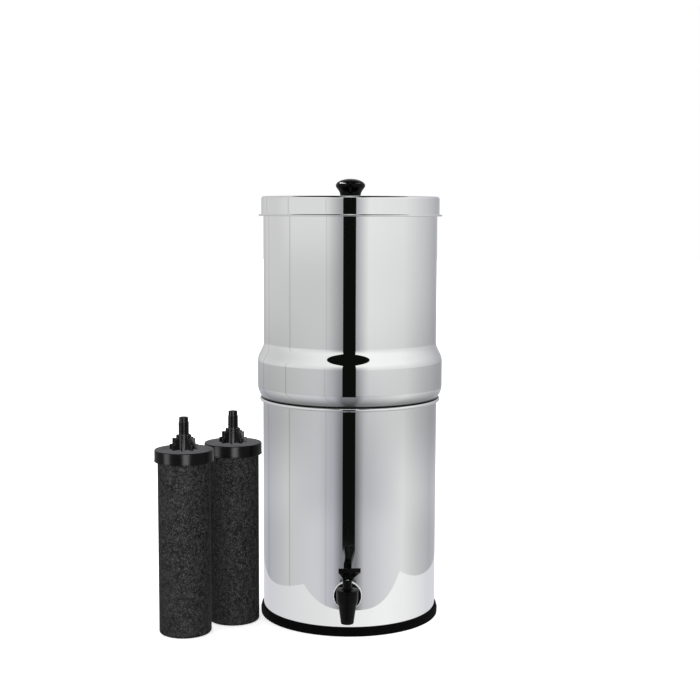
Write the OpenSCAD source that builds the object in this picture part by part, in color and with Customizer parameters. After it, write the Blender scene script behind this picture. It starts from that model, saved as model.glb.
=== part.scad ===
// Gravity water filter: two stacked steel chambers, a lid, a self-closing tap
// and a pair of carbon filter elements that stand beside the vessel.
// Millimetres. The origin is on the floor, on the vessel's axis; +Z is up and the tap faces -Y.

/* [Steel shells] */
// Thickness of the sheet steel of both chambers and the lid
sheet = 0.7; // [0.5:0.1:1]
// Outer radius of the lower chamber
lower_r = 107; // [95:1:125]
// Height of the lower chamber, from its floor to the top of its rolled rim
lower_h = 268.6; // [220:0.1:320]
// Outer radius of the lower chamber's bottom corner
lower_corner_r = 4; // [2:0.5:8]
// How far the middle of the lower chamber's floor is pressed up
floor_dish = 2.5; // [1:0.5:5]
// Radius of the lower chamber's rolled rim, in section
rim_roll_r = 2.3; // [1.8:0.1:2.8]
// Depth by which the upper chamber nests in the lower one
nest_depth = 8; // [5:0.5:20]
// How far the bulge stands out beyond its lip over the rolled rim
bulge_out = 4.45; // [3:0.05:7]
// Radius of the curve that carries the bulge in to its lip
bulge_round = 21; // [12:1:30]
// Height of the straight part of the bulge
bulge_h = 30; // [15:1:60]
// How far the shoulder draws in from the bulge to the upper wall
shoulder_in = 7.45; // [4:0.05:12]
// Height of the shoulder
shoulder_h = 23; // [15:1:40]
// Height of the upper chamber, from the lower chamber's rim to the top of its own rim
upper_h = 243.7; // [180:0.1:300]
// Radius of the upper chamber's rolled rim, in section
top_roll_r = 1.1; // [1:0.05:1.4]

/* [Lid] */
// Height of the lid, from its top face to the underside of its hem
lid_h = 23.7; // [15:0.1:40]
// Outer radius of the lid's top corner
lid_round = 2.4; // [2:0.1:2.8]
// How far the lid's hem stands out from its skirt
hem_out = 3.4; // [2.6:0.1:6]
// Thickness of the folded hem
hem_t = 2; // [1.8:0.1:3]
// Largest radius of the knob
knob_r = 18; // [15:0.25:24]
// Radius of the knob's foot
knob_foot_r = 12.6; // [10:0.1:14]
// Height of the knob
knob_h = 21.5; // [18:0.1:32]
// Radius of the knob's screw
screw_r = 2.5; // [2:0.25:3]
// Length of the knob's screw under its head
screw_len = 12; // [8:0.5:14]

/* [Foot ring] */
// Height of the rubber foot ring
foot_h = 10.6; // [9:0.1:16]
// Thickness of the ledge under the lower chamber
foot_t = 3; // [2:0.5:5]
// How far the ring's base stands out beyond the chamber's wall
foot_out = 3.3; // [2.5:0.1:6]
// How far the ledge reaches in under the chamber
foot_in = 9; // [6:0.5:20]

/* [Element holes] */
// Radius of the circle on which the holes in the upper floor lie
hole_circle_r = 55; // [48:1:64]
// Number of holes in the upper floor; every second one is plugged
hole_count = 4; // [4:2:6]
// Radius of each hole
hole_r = 6.7; // [6.6:0.1:8]
// Radius of a blocking plug's head
plug_head_r = 12.5; // [11:0.5:16]
// Thickness of a blocking plug's head
plug_head_t = 4; // [3:0.5:8]
// Thickness of a plug's rubber washer
plug_washer_t = 2; // [1:0.25:4]
// Thickness of a plug's wing nut
wing_nut_t = 7; // [5:0.5:10]
// Overall width of a plug's wing nut
wing_span = 34; // [28:1:44]

/* [Tap] */
// Height of the tap's shank above the floor
tap_z = 49.5; // [44:0.5:90]
// Distance from the chamber's wall to the tap's vertical axis
tap_reach = 19.5; // [18:0.5:30]
// Radius of the flange behind the tap
flange_r = 16; // [13:0.5:20]
// Thickness of the flange
flange_t = 3; // [2:0.25:5]
// Thickness of the rubber washer outside the wall, at its middle
outer_washer_t = 2.2; // [1:0.1:4]
// How far the washer outside shows round the flange
washer_out = 0.9; // [0.3:0.1:2]
// Thickness of the rubber washer inside the wall
inner_washer_t = 2.4; // [1:0.1:4]
// Outer radius of the shank
shank_r = 8; // [7:0.25:9]
// Radius of the water way through shank and spout
way_r = 4.5; // [3.5:0.25:5]
// How far the shank reaches inside the wall
shank_in = 22; // [19:0.5:40]
// Thickness of the nut inside
tap_nut_t = 8; // [5:0.5:10]
// Width of the nut inside, across its flats
tap_nut_af = 27; // [24:1:34]
// Radius of the barrel at its top
barrel_r = 12.8; // [12:0.1:16]
// Outer radius of the spout's mouth
mouth_r = 7.35; // [6.8:0.05:9]
// Drop from the shank's axis to the spout's mouth
mouth_drop = 27.7; // [22:0.1:40]
// Radius of the bonnet's neck
neck_r = 5.3; // [4.8:0.1:6.5]
// Height of the bonnet's neck above its dome
neck_h = 9; // [6:0.5:15]
// Radius of the valve stem
stem_r = 2.4; // [2:0.1:3]
// Lift of the valve stem when the lever is pressed
valve_lift = 2.6; // [1.5:0.1:3]
// Turns of the closing spring
spring_turns = 6; // [4:1:7]
// Wire radius of the closing spring
spring_wire_r = 0.55; // [0.4:0.05:0.6]

/* [Lever] */
// Reach of the lever in front of its pin
lever_len = 29.5; // [22:0.5:45]
// Width of the lever at its root
lever_root_w = 11.6; // [11:0.1:14]
// Width of the lever at its tip
lever_tip_w = 26.8; // [18:0.1:36]
// Thickness of the lever at its tip
lever_tip_t = 5.2; // [3:0.1:7]
// Height of the lever's tip above its pin
lever_rise = 16; // [12:0.5:24]
// Height of the pin above the lever's heel
heel_h = 5; // [4.5:0.1:7]
// Radius of the lever's pin
pin_r = 1.25; // [1:0.05:1.5]
// Angle through which the lever is pressed
press_angle = 40; // [20:1:40]
// Angle by which the lever is swivelled to the right of the spout
lever_turn = 6; // [0:1:15]

/* [Filter elements] */
// Height of a filter element's carbon block
block_h = 216.9; // [150:0.1:260]
// Radius of the carbon block
block_r = 31; // [26:0.5:33]
// Radius of the block's bottom edge
block_edge_r = 3; // [1:0.5:6]
// Radius of the bore in the middle of the block
block_bore_r = 8; // [5:0.5:12]
// Outer radius of the moulded cap
cap_r = 35; // [34:0.5:38]
// Height of the cap
cap_h = 13.8; // [10:0.5:24]
// Thickness of the cap's top
cap_top_t = 3; // [2:0.25:5]
// Radius of the cap's threaded stem
thread_r = 6.3; // [5.5:0.05:6.4]
// Length of the threaded part of the stem
thread_len = 15.5; // [14:0.5:24]
// Radius of the plain tip of the stem
tip_r = 5.4; // [4.5:0.05:5.4]
// Length of the plain tip of the stem
tip_len = 5.5; // [3:0.5:10]
// Radius of the water way through the stem
stem_way_r = 3; // [2:0.25:3.5]
// Number of stepped ribs round the foot of the stem
rib_count = 8; // [4:1:12]
// Thickness of each rib
rib_t = 2.2; // [1.5:0.1:3]
// Gap between the vessel and the element that stands beside it
stand_gap = 5; // [2:0.1:40]
// Gap between the two elements
pair_gap = 2.6; // [1:0.1:40]
// Bearing of the right element from the vessel's axis
right_bearing = 197; // [160:0.1:215]
// Bearing of the left element from the right one
left_bearing = 223.5; // [180:0.1:240]

/* [Hidden] */
$fn = 96;

steel = "silver";
black = "#1c1d1e";
satin_black = "#2b2c2d";
rubber = "#141414";

// clearances
touch = 0.05;       // glued, screwed or pressed together
running = 0.08;     // turning and sliding fits
seat_gap = 0.3;     // between a loose piece and what it rests on
lid_gap = 0.4;      // round the upper rim, inside the lid
nest_gap = 0.7;     // round the upper chamber's step, inside the lower chamber
cut = 1;            // how far a cutting shape runs past a face

// levels of the vessel
rim_z = foot_t + lower_h;
seat_z = rim_z + seat_gap;
upper_floor_z = seat_z - nest_depth;
upper_rim_z = rim_z + upper_h;
lid_z = upper_rim_z + seat_gap + sheet;

// radii of the vessel
rim_centre_r = lower_r - sheet + rim_roll_r;
step_r = lower_r - sheet - nest_gap;
lip_over = 0.4;
lip_round = 1;
lip_r = rim_centre_r + lip_over;
bulge_r = lip_r + bulge_out;
upper_r = bulge_r - shoulder_in;
top_centre_r = upper_r - sheet + top_roll_r;
lid_r = top_centre_r + top_roll_r + lid_gap + sheet;

// tap
tap_y = -lower_r - tap_reach;
mouth_z = tap_z - mouth_drop;
chamber_bore_r = way_r + 4;
seat_z_tap = tap_z - 8.5;
seat_ring_t = 0.5;
valve_z = seat_z_tap + seat_ring_t;
chamber_top_z = tap_z + way_r;
skirt_r = barrel_r - 2.7;
skirt_h = 5.5;
bonnet_z = chamber_top_z + skirt_h;
bonnet_rim_h = 2.6;
dome_h = 2.4;
dome_z = bonnet_z + bonnet_rim_h + dome_h;
neck_z = dome_z + neck_h;
spring_room_r = 6.5;
spring_top_z = bonnet_z + bonnet_rim_h;
cup_h = 7.7;
cup_top_z = valve_z + cup_h;
pin_z = neck_z + seat_gap + heel_h;
spring_r = 4.7;
spring_z0 = cup_top_z + spring_wire_r + touch;
spring_z1 = spring_top_z - spring_wire_r - touch;

// filter elements
cap_z = block_h + touch + cap_top_t - cap_h;
cap_top_z = block_h + touch + cap_top_t;
rib_steps = [[16.7, 6.2], [13.5, 7], [8.9, 4]]; // reach and height of each step
rib_top_z = cap_top_z + rib_steps[0][1] + rib_steps[1][1] + rib_steps[2][1];
rib_core_r = 7.2;
stand_r = max(lower_r + foot_out + block_r, lower_r + cap_r) + stand_gap;
right_place = stand_r * [cos(right_bearing), sin(right_bearing)];
left_place = right_place + (2 * cap_r + pair_gap) * [cos(left_bearing), sin(left_bearing)];

// Points on a round stretch, from angle a0 to a1 about c
function arc(c, r, a0, a1, n) =
    [for (i = [0:n]) let (a = a0 + (a1 - a0) * i / n) c + r * [cos(a), sin(a)]];

function turned_left(v) = [-v[1], v[0]] / norm(v);

// The same outline moved sideways by t, to the left of its direction
function beside(path, t) = let (last = len(path) - 1)
    [for (i = [0:last])
        let (a = turned_left(path[max(i, 1)] - path[max(i, 1) - 1]),
             b = turned_left(path[min(i, last - 1) + 1] - path[min(i, last - 1)]))
        path[i] + t * (a + b) / (1 + a * b)];

function backwards(path) = [for (i = [len(path) - 1:-1:0]) path[i]];

// A spun sheet-metal shell; path is its outer face and t the side on which the metal lies
module spun(path, t) {
    rotate_extrude() polygon(concat(path, backwards(beside(path, t))));
}

// A rim rolled outwards: the outer face of the roll that ends a wall at radius r
function rolled_rim(r, roll_r, top_z) =
    arc([r - sheet + roll_r, top_z - roll_r], roll_r - sheet, 180, -115, 12);

// A cylinder along Y from y0 to y1 at height z
module along_y(r, y0, y1, z) {
    translate([0, y0, z]) rotate([-90, 0, 0]) cylinder(r = r, h = y1 - y0);
}

module lower_chamber() {
    dish_r = lower_r - 27;
    path = concat(
        [[0, foot_t + floor_dish], [dish_r, foot_t + floor_dish], [dish_r + 3 * floor_dish, foot_t]],
        arc([lower_r - lower_corner_r, foot_t + lower_corner_r], lower_corner_r, -90, 0, 6),
        rolled_rim(lower_r, rim_roll_r, rim_z));
    color(steel) difference() {
        spun(path, sheet);
        along_y(shank_r + 0.3, -lower_r - cut, -lower_r / 2, tap_z);
    }
}

module foot_ring() {
    corner = lower_corner_r;
    wall_r = lower_r + touch;
    lip_t = foot_out - 1.1;
    outline = concat(
        [[lower_r - foot_in, 0], [lower_r + foot_out - 0.6, 0], [lower_r + foot_out, 0.6],
         [lower_r + foot_out, 0.55 * foot_h], [lower_r + lip_t, foot_h - 0.6],
         [lower_r + lip_t - 0.5, foot_h], [wall_r, foot_h]],
        arc([lower_r - corner, foot_t + corner], corner + touch, 0, -90, 6),
        [[lower_r - foot_in, foot_t - touch]]);
    color(rubber) rotate_extrude() polygon(outline);
}

module upper_chamber() {
    fold_r = 1.5;
    floor_corner_r = 3;
    lip_h = 1.6;
    draw_angle = acos(1 - bulge_out / bulge_round);
    bulge_z = seat_z + lip_h + bulge_round * sin(draw_angle);
    shoulder_z = bulge_z + bulge_h;
    shoulder = [for (i = [1:12]) let (t = i / 12)
        [bulge_r - shoulder_in * (1 - cos(180 * t)) / 2, shoulder_z + shoulder_h * t]];
    path = concat(
        [[0, upper_floor_z]],
        arc([step_r - floor_corner_r, upper_floor_z + floor_corner_r], floor_corner_r, -90, 0, 5),
        arc([step_r + fold_r, seat_z - fold_r], fold_r, 180, 90, 4),
        arc([lip_r - lip_round, seat_z + lip_round], lip_round, -90, 0, 4),
        arc([bulge_r - bulge_round, bulge_z], bulge_round, -draw_angle, 0, 8),
        [[bulge_r, shoulder_z]],
        shoulder,
        rolled_rim(upper_r, top_roll_r, upper_rim_z));
    color(steel) difference() {
        spun(path, sheet);
        for (i = [0:hole_count - 1]) at_hole(i)
            translate([0, 0, upper_floor_z - cut]) cylinder(r = hole_r, h = sheet + 2 * cut);
    }
}

module at_hole(i) {
    rotate([0, 0, 360 * i / hole_count]) translate([hole_circle_r, 0, 0]) children();
}

// Every second hole is plugged; the others wait for the elements
module at_plugs() {
    for (i = [1:2:hole_count - 1]) at_hole(i) translate([0, 0, upper_floor_z]) children();
}

module blocking_plugs() {
    head_z = sheet + plug_washer_t;
    stud_len = wing_nut_t + 3;
    color(satin_black) at_plugs() {
        translate([0, 0, head_z]) rotate_extrude() polygon(concat(
            [[0, 0]],
            [[plug_head_r, 0]],
            arc([plug_head_r - 1.5, plug_head_t - 1.5], 1.5, 0, 90, 4),
            [[0, plug_head_t]]));
        translate([0, 0, -stud_len]) cylinder(r = thread_r, h = stud_len + head_z);
    }
}

module plug_washers() {
    color(rubber) at_plugs() translate([0, 0, sheet]) difference() {
        cylinder(r = plug_head_r - 0.5, h = plug_washer_t);
        translate([0, 0, -cut]) cylinder(r = thread_r + touch, h = plug_washer_t + 2 * cut);
    }
}

module plug_wing_nuts() {
    hub_r = thread_r + 3.7;
    wing_t = 3.2;
    wing_h = wing_nut_t + 3;
    color(satin_black) at_plugs() difference() {
        union() {
            translate([0, 0, -wing_nut_t]) cylinder(r = hub_r, h = wing_nut_t);
            intersection() {
                translate([-wing_span / 2, -wing_t / 2, -wing_h - 1]) cube([wing_span, wing_t, wing_h]);
                for (side = [-1, 1]) translate([side * (wing_span / 2 - wing_h / 2), 0, -1 - wing_h / 2])
                    rotate([90, 0, 0]) cylinder(r = wing_h / 2, h = 2 * wing_t, center = true);
            }
        }
        translate([0, 0, -wing_nut_t - 4]) cylinder(r = thread_r + touch, h = wing_nut_t + 4 + cut);
    }
}

module lid() {
    fold_r = 0.9;
    hem_r = lid_r + hem_out;
    hem_z = lid_z - lid_h;
    path = concat(
        [[0, lid_z]],
        arc([lid_r - lid_round, lid_z - lid_round], lid_round, 90, 0, 6),
        arc([lid_r + fold_r, hem_z + hem_t + fold_r], fold_r, 180, 270, 4),
        arc([hem_r - hem_t / 2, hem_z + hem_t / 2], hem_t / 2, 90, -90, 8),
        [[lid_r + 0.8, hem_z]]);
    color(steel) difference() {
        spun(path, -sheet);
        translate([0, 0, lid_z - sheet - cut]) cylinder(r = screw_r + 0.3, h = sheet + 2 * cut);
    }
}

module lid_knob() {
    brim_z = 0.62 * knob_h;
    // the side swells from the foot to the brim in one S-shaped curve
    side = [for (i = [0:12]) let (t = i / 12)
        [knob_foot_r + (knob_r - knob_foot_r) * (1 - cos(180 * pow(t, 1.45))) / 2, brim_z * t]];
    dome = [for (i = [1:10]) let (a = 9 * i) [knob_r * cos(a), brim_z + (knob_h - brim_z) * sin(a)]];
    color(black) translate([0, 0, lid_z]) difference() {
        rotate_extrude() polygon(concat([[0, 0]], side, dome));
        translate([0, 0, -cut]) cylinder(r = screw_r + touch, h = screw_len - 1 + cut);
    }
}

module knob_washer() {
    washer_r = 7;
    color(steel) translate([0, 0, lid_z - sheet - 1]) difference() {
        cylinder(r = washer_r, h = 1);
        translate([0, 0, -cut]) cylinder(r = screw_r + 0.2, h = 1 + 2 * cut);
    }
}

module knob_screw() {
    head_r = 4.5;
    head_t = 3;
    slot_w = 1.2;
    under_z = lid_z - sheet - 1;
    color(steel) difference() {
        union() {
            translate([0, 0, under_z]) cylinder(r = screw_r, h = screw_len);
            translate([0, 0, under_z - head_t]) cylinder(r = head_r, h = head_t);
        }
        for (turn = [0, 90]) rotate([0, 0, turn])
            translate([-slot_w / 2, -slot_w * 1.8, under_z - head_t - cut])
                cube([slot_w, slot_w * 3.6, cut + 1.6]);
    }
}

module tap_body() {
    blend_z = tap_z - 6.5;
    blend_h = 6.2;      // ends off the shank's axis, where the boss's seam lies
    outline = concat(
        [[0, mouth_z], [mouth_r - 0.6, mouth_z], [mouth_r, mouth_z + 0.6]],
        [[barrel_r - 2.4, blend_z]],
        [for (i = [1:5]) let (t = i / 5)
            [barrel_r - 2.4 + 2 * (1 - cos(180 * t)) / 2, blend_z + blend_h * t]],
        [[barrel_r, bonnet_z], [0, bonnet_z]]);
    wall_face = -lower_r - outer_washer_t;
    color(black) difference() {
        union() {
            translate([0, tap_y, 0]) rotate_extrude() polygon(outline);
            along_y(shank_r + 1.5, tap_y, wall_face - flange_t + touch, tap_z);
            along_y(flange_r, wall_face - flange_t, wall_face, tap_z);
            along_y(shank_r, wall_face - touch, -lower_r + shank_in, tap_z);
        }
        translate([0, tap_y, 0]) {
            translate([0, 0, mouth_z - cut]) cylinder(r = way_r, h = seat_z_tap - mouth_z + 2 * cut);
            translate([0, 0, mouth_z - 0.01]) cylinder(r1 = mouth_r - 1.3, r2 = way_r - 0.3, h = 6);
            difference() {
                translate([0, 0, seat_z_tap]) cylinder(r = chamber_bore_r, h = chamber_top_z - seat_z_tap + touch);
                translate([0, 0, seat_z_tap - cut]) cylinder(r = way_r + 1.2, h = seat_ring_t + cut);
            }
            translate([0, 0, chamber_top_z]) cylinder(r = skirt_r + touch, h = skirt_h + cut);
        }
        along_y(way_r - 0.6, tap_y, -lower_r + shank_in + cut, tap_z);
    }
}

// A rubber washer whose one face follows the round wall: side -1 is outside, 1 is inside
module tap_outer_washer() {
    color("gainsboro") difference() {
        along_y(flange_r + washer_out, -lower_r - outer_washer_t, -lower_r + 4, tap_z);
        along_y(shank_r + touch, -lower_r - outer_washer_t - cut, -lower_r + 4 + cut, tap_z);
        cylinder(r = lower_r + touch, h = tap_z + flange_r + washer_out + cut, $fn = 240);
    }
}

module tap_inner_washer() {
    washer_r = shank_r + 6;
    inner_r = lower_r - sheet - touch;
    color(rubber) intersection() {
        difference() {
            along_y(washer_r, -lower_r, inner_washer_y(), tap_z);
            along_y(shank_r + touch, -lower_r - cut, inner_washer_y() + cut, tap_z);
        }
        cylinder(r = inner_r, h = tap_z + washer_r + cut, $fn = 240);
    }
}

// Inner face of the washer inside: its thickness is measured where the wall is nearest the axis
function inner_washer_y() = -sqrt(pow(lower_r - sheet, 2) - pow(shank_r + 6, 2)) + inner_washer_t;

module tap_nut() {
    y0 = inner_washer_y();
    color(black) difference() {
        union() {
            translate([0, y0 + 1.5, tap_z]) rotate([-90, 30, 0])
                cylinder(r = tap_nut_af / 2 / cos(30), h = tap_nut_t - 1.5, $fn = 6);
            along_y(shank_r + 6, y0, y0 + 1.5, tap_z);
        }
        along_y(shank_r + touch, y0 - cut, y0 + tap_nut_t + cut, tap_z);
    }
}

module tap_bonnet() {
    rim_round = 0.8;
    outline = concat(
        [[0, chamber_top_z], [skirt_r, chamber_top_z], [skirt_r, bonnet_z], [barrel_r, bonnet_z]],
        arc([barrel_r + 0.1 - rim_round, bonnet_z + bonnet_rim_h - rim_round], rim_round, 0, 80, 4),
        arc([neck_r + dome_h - 0.4, dome_z + 0.4], dome_h - 0.4, -110, -180, 4),
        [[neck_r, neck_z - 0.5], [neck_r - 0.5, neck_z], [0, neck_z]]);
    color(black) translate([0, tap_y, 0]) difference() {
        rotate_extrude() polygon(outline);
        translate([0, 0, chamber_top_z - cut])
            cylinder(r = spring_room_r, h = spring_top_z - chamber_top_z + cut);
        translate([0, 0, spring_top_z - cut]) cylinder(r = stem_r + running, h = neck_z - spring_top_z + 2 * cut);
    }
}

module valve_stem() {
    foot_z = valve_z + 2;
    color("whitesmoke") translate([0, tap_y, 0]) difference() {
        union() {
            translate([0, 0, foot_z]) cylinder(r = stem_r + 1.6, h = 1.6);
            translate([0, 0, foot_z]) cylinder(r = stem_r, h = pin_z + 2.5 - foot_z);
            translate([0, 0, pin_z + 2.5]) cylinder(r1 = stem_r, r2 = stem_r - 0.5, h = 0.5);
        }
        translate([0, 0, pin_z]) rotate([0, 90, lever_turn]) cylinder(r = pin_r, h = 4 * stem_r, center = true);
    }
}

module seat_cup() {
    foot_z = valve_z + 2;
    color("lightgrey") translate([0, tap_y, 0]) difference() {
        rotate_extrude() polygon([
            [0, valve_z], [way_r + 2.1, valve_z], [way_r + 2.9, valve_z + 0.8], [way_r + 2.9, valve_z + 3.4],
            [5.7, valve_z + 5], [5.7, cup_top_z], [0, cup_top_z]]);
        translate([0, 0, foot_z - touch]) cylinder(r = stem_r + 1.6 + touch, h = 1.6 + 2 * touch);
        translate([0, 0, foot_z]) cylinder(r = stem_r + touch, h = cup_h);
    }
}

// The closing spring: one wire wound in spring_turns turns, as a six-sided tube with 8 rings a turn
function spring_point(t) =
    [spring_r * cos(360 * t), spring_r * sin(360 * t), spring_z0 + (spring_z1 - spring_z0) * t / spring_turns];

function spring_rings() = let (rings = 8 * spring_turns) [for (i = [0:rings])
    let (t = i / 8, c = spring_point(t), out = [cos(360 * t), sin(360 * t), 0])
    [for (k = [0:5]) c + spring_wire_r * (cos(60 * k) * out + sin(60 * k) * [0, 0, 1])]];

module valve_spring() {
    rings = spring_rings();
    n = len(rings);
    sides = [for (i = [0:n - 2]) for (k = [0:5]) let (a = 6 * i + k, b = 6 * i + (k + 1) % 6) each
        [[a, a + 6, b], [b, a + 6, b + 6]]];
    ends = [for (k = [1:4]) each [[0, k, k + 1], [6 * n - 6, 6 * n - 5 + k, 6 * n - 6 + k]]];
    color(steel) translate([0, tap_y, 0])
        polyhedron(points = [for (ring = rings) each ring], faces = concat(sides, ends));
}

// Least gap between neighbouring turns of the spring, measured on its points
spring_gap = min([for (i = [8:8 * spring_turns]) norm(spring_point(i / 8) - spring_point(i / 8 - 1))])
    - 2 * spring_wire_r;
echo(spring_gap = spring_gap);

module at_pin() {
    translate([0, tap_y, pin_z]) rotate([0, 0, lever_turn]) children();
}

module lever_pin() {
    color(steel) at_pin() rotate([0, 90, 0]) cylinder(r = pin_r, h = lever_root_w - 0.6, center = true);
}

// Extrudes a side outline, in which x points forwards and y up, to the width w
module from_side(w) {
    rotate([90, 0, -90]) linear_extrude(w, center = true) children();
}

// Half the lever's width at the distance u in front of its pin
function lever_half(u) = let (root = 6, t = max(0, u - root) / (lever_len - root))
    lever_root_w / 2 + (lever_tip_w - lever_root_w) / 2 * pow(t, 1.5);

module lever_outline() {
    back = -5.8;
    top = 6.3;
    tip_low = lever_rise - lever_tip_t;
    polygon(concat(
        [[back + 1, -heel_h], [4.4, -heel_h], [5, 0.7 - heel_h], [lever_len - 1, tip_low]],
        arc([lever_len - 1, tip_low + 1], 1, -90, 0, 3),
        arc([lever_len - 1.6, lever_rise - 1.2], 1.2, 0, 100, 4),
        [[0, top]],
        arc([back + 3, top - 3.4], 3, 100, 180, 5),
        [[back, 1 - heel_h]]));
}

// The lever swings this slot round the stem when it is pressed
module stem_slot() {
    gap = stem_r + 0.4;
    low = -heel_h - cut;
    circle(r = 4.3);
    flank = gap * [cos(press_angle), sin(press_angle)];
    polygon([[-gap, low], [flank[0] + (flank[1] - low) * tan(press_angle), low], flank, [-gap, flank[1]]]);
}

module tap_lever() {
    steps = 10;
    tip_round = 1.5;
    flare = [for (i = [0:steps]) let (u = 6 + (lever_len - tip_round - 6) * i / steps) [lever_half(u), -u]];
    half = concat([[lever_root_w / 2, 6.5]], flare, [[lever_half(lever_len) - tip_round, -lever_len]]);
    mirrored = [for (p = backwards(half)) [-p[0], p[1]]];
    slope = (lever_rise - lever_tip_t + heel_h) / (lever_len - 6);
    pocket0 = 13;
    pocket1 = lever_len - 3;
    color(black) at_pin() difference() {
        intersection() {
            from_side(lever_tip_w + 2) lever_outline();
            translate([0, 0, -heel_h - cut])
                linear_extrude(lever_rise + heel_h + 2 * cut) polygon(concat(half, mirrored));
        }
        from_side(2 * (stem_r + 0.3)) stem_slot();
        rotate([0, 90, 0]) cylinder(r = pin_r + running, h = lever_root_w + 2, center = true);
        for (side = [-1, 1]) intersection() {
            from_side(lever_tip_w) polygon([
                for (p = [[pocket0, -3], [pocket1, -3], [pocket1, 1.6], [pocket0, 1.6]])
                    [p[0], -heel_h + slope * (p[0] - 5) + p[1]]]);
            translate([0, 0, -heel_h - 4]) linear_extrude(lever_rise + 12) polygon([
                [side * 1.5, -pocket0], [side * (lever_half(pocket0) - 2), -pocket0],
                [side * (lever_half((pocket0 + pocket1) / 2) - 2), -(pocket0 + pocket1) / 2],
                [side * (lever_half(pocket1) - 2), -pocket1], [side * 1.5, -pocket1]]);
        }
    }
}

module element_block() {
    outline = concat(
        [[0, 0]],
        arc([block_r - block_edge_r, block_edge_r], block_edge_r, -90, 0, 5),
        [[block_r, block_h], [0, block_h]]);
    color("#2e2f30") difference() {
        rotate_extrude() polygon(outline);
        translate([0, 0, 12]) cylinder(r = block_bore_r, h = block_h);
    }
}

module element_cap() {
    heights = [rib_top_z, rib_top_z - rib_steps[2][1], rib_top_z - rib_steps[2][1] - rib_steps[1][1], cap_top_z - touch];
    outline = concat(
        [[0, cap_z], [cap_r - 0.6, cap_z], [cap_r, cap_z + 0.6]],
        arc([cap_r - 1.2, cap_top_z - 1.2], 1.2, 0, 90, 4),
        [[0, cap_top_z]]);
    color(satin_black) difference() {
        union() {
            rotate_extrude() polygon(outline);
            translate([0, 0, cap_top_z - touch]) cylinder(r = rib_core_r, h = rib_top_z - cap_top_z + touch);
            translate([0, 0, rib_top_z - touch]) cylinder(r = thread_r, h = thread_len + touch);
            translate([0, 0, rib_top_z + thread_len - touch]) cylinder(r = tip_r, h = tip_len + touch);
            for (i = [0:rib_count - 1]) rotate([90, 0, 360 * i / rib_count])
                linear_extrude(rib_t, center = true) polygon([
                    [0, heights[3]], [rib_steps[0][0], heights[3]], [rib_steps[0][0], heights[2]],
                    [rib_steps[1][0], heights[2]], [rib_steps[1][0], heights[1]],
                    [rib_steps[2][0], heights[1]], [rib_steps[2][0], heights[0]], [0, heights[0]]]);
        }
        translate([0, 0, cap_z - cut]) cylinder(r = block_r + touch, h = block_h + touch - cap_z + cut);
        translate([0, 0, cap_z]) cylinder(r = stem_way_r, h = rib_top_z + thread_len + tip_len);
    }
}

module at_left() {
    translate(left_place) children();
}

module at_right() {
    translate(right_place) children();
}

lower_chamber();
foot_ring();
upper_chamber();
blocking_plugs();
plug_washers();
plug_wing_nuts();
lid();
lid_knob();
knob_screw();
knob_washer();
tap_body();
tap_outer_washer();
tap_inner_washer();
tap_nut();
tap_bonnet();
valve_stem();
seat_cup();
valve_spring();
lever_pin();
tap_lever();
at_left() element_block();  // left_element_block
at_left() element_cap();  // left_element_cap
at_right() element_block();  // right_element_block
at_right() element_cap();  // right_element_cap
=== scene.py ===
import math

import bmesh
import bpy
from mathutils import Matrix, Vector


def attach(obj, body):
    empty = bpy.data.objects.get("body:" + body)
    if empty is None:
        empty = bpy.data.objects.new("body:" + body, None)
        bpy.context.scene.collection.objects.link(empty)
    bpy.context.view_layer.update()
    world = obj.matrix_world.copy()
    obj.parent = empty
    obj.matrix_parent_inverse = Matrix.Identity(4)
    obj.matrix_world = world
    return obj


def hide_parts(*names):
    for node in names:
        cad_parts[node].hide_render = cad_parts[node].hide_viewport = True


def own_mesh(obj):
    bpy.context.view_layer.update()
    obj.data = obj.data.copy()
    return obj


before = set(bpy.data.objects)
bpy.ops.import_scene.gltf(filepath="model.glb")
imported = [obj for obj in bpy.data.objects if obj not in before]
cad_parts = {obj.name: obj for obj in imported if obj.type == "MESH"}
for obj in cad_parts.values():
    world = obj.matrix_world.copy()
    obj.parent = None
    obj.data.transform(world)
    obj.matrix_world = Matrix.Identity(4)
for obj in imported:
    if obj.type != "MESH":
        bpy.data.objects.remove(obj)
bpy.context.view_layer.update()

MM = 0.001

# Sizes shared with the construction, in millimetres
SHEET = 0.7
LOWER_R = 107.0
FOOT_T = 3.0
FLOOR_DISH = 2.5
RIM_ROLL_R = 2.3
RIM_Z = 271.6
SEAT_Z = RIM_Z + 0.3
UPPER_FLOOR_Z = SEAT_Z - 8.0
STEP_R = LOWER_R - SHEET - 0.7
LIP_R = LOWER_R - SHEET + RIM_ROLL_R + 0.4
BULGE_OUT = 4.45
BULGE_ROUND = 21.0
BULGE_R = LIP_R + BULGE_OUT
BULGE_H = 30.0
SHOULDER_IN = 7.45
SHOULDER_H = 23.0
UPPER_R = BULGE_R - SHOULDER_IN
UPPER_RIM_Z = RIM_Z + 243.7
TOP_ROLL_R = 1.1
HOLE_CIRCLE_R = 55.0
HOLE_R = 6.7
LID_Z = UPPER_RIM_Z + 0.3 + SHEET
LID_R = UPPER_R - SHEET + 2 * TOP_ROLL_R + 0.4 + SHEET
LID_H = 23.7
HEM_OUT = 3.4
HEM_T = 2.0
KNOB_R = 18.0
KNOB_FOOT_R = 12.6
KNOB_H = 21.5
FOOT_H = 10.6
FOOT_OUT = 3.3
TAP_Z = 49.5
TAP_Y = -LOWER_R - 19.5
BLOCK_R = 31.0
BLOCK_H = 216.9
CAP_R = 35.0
CAP_TOP_Z = BLOCK_H + 0.05 + 3.0
CAP_Z = CAP_TOP_Z - 13.8
CAP_GAP = 2.6
STAND_R = LOWER_R + CAP_R + 5.0
RIGHT_BEARING = math.radians(197.0)
LEFT_BEARING = math.radians(223.5)
RIGHT_PLACE = (STAND_R * math.cos(RIGHT_BEARING), STAND_R * math.sin(RIGHT_BEARING))
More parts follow.
